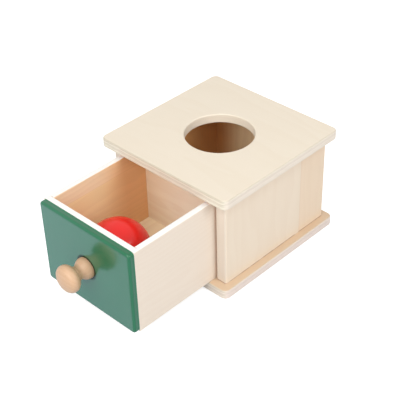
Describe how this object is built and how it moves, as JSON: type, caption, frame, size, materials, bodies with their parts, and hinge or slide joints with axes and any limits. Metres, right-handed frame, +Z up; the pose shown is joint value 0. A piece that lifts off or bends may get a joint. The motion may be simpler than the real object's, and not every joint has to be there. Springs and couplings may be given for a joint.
{
  "type": "object permanence box",
  "caption": "Square wooden toy box with a round ball hole in its lid and a pull-out drawer with a green front and turned knob, in which the dropped red ball is found again.",
  "frame": {"origin": "middle of the base plate's underside, on the surface that the box stands on", "axes": "+Z up, +X to the right along the front, +Y from the drawer's front to the back wall; the drawer pulls out along -Y"},
  "size_m": [0.13, 0.2295, 0.091],
  "materials": {
    "plate_ply": "sanded pale plywood under clear satin lacquer",
    "wall_board": "edge-glued pale wood, sanded, clear satin lacquer",
    "tray_board": "sanded pale board, clear satin lacquer",
    "turned_beech": "turned beech, clear satin lacquer",
    "green_paint": "wood under green satin paint",
    "red_lacquer": "turned wood under red gloss lacquer",
    "screw_steel": "zinc-plated steel"
  },
  "bodies": {
    "box": {"top_plate": "plate_ply", "base_plate": "plate_ply", "left_wall": "wall_board", "right_wall": "wall_board", "back_wall": "wall_board", "top_dowels": "turned_beech", "base_dowels": "turned_beech", "back_dowels": "turned_beech"},
    "drawer": {"drawer_front_panel": "green_paint", "drawer_front_board": "tray_board", "drawer_left_side": "tray_board", "drawer_right_side": "tray_board", "drawer_back_board": "tray_board", "drawer_bottom": "tray_board", "knob": "turned_beech", "knob_screw": "screw_steel"},
    "ball": {"ball": "red_lacquer"}
  },
  "joints": [
    {"name": "drawer_slide", "type": "slide", "parent": "box", "child": "drawer", "axis": [0, -1, 0], "range_m": [-0.084, 0.011]},
    {"name": "ball_roll", "type": "slide", "parent": "drawer", "child": "ball", "axis": [0, 1, 0], "range_m": [0, 0.04]}
  ]
}
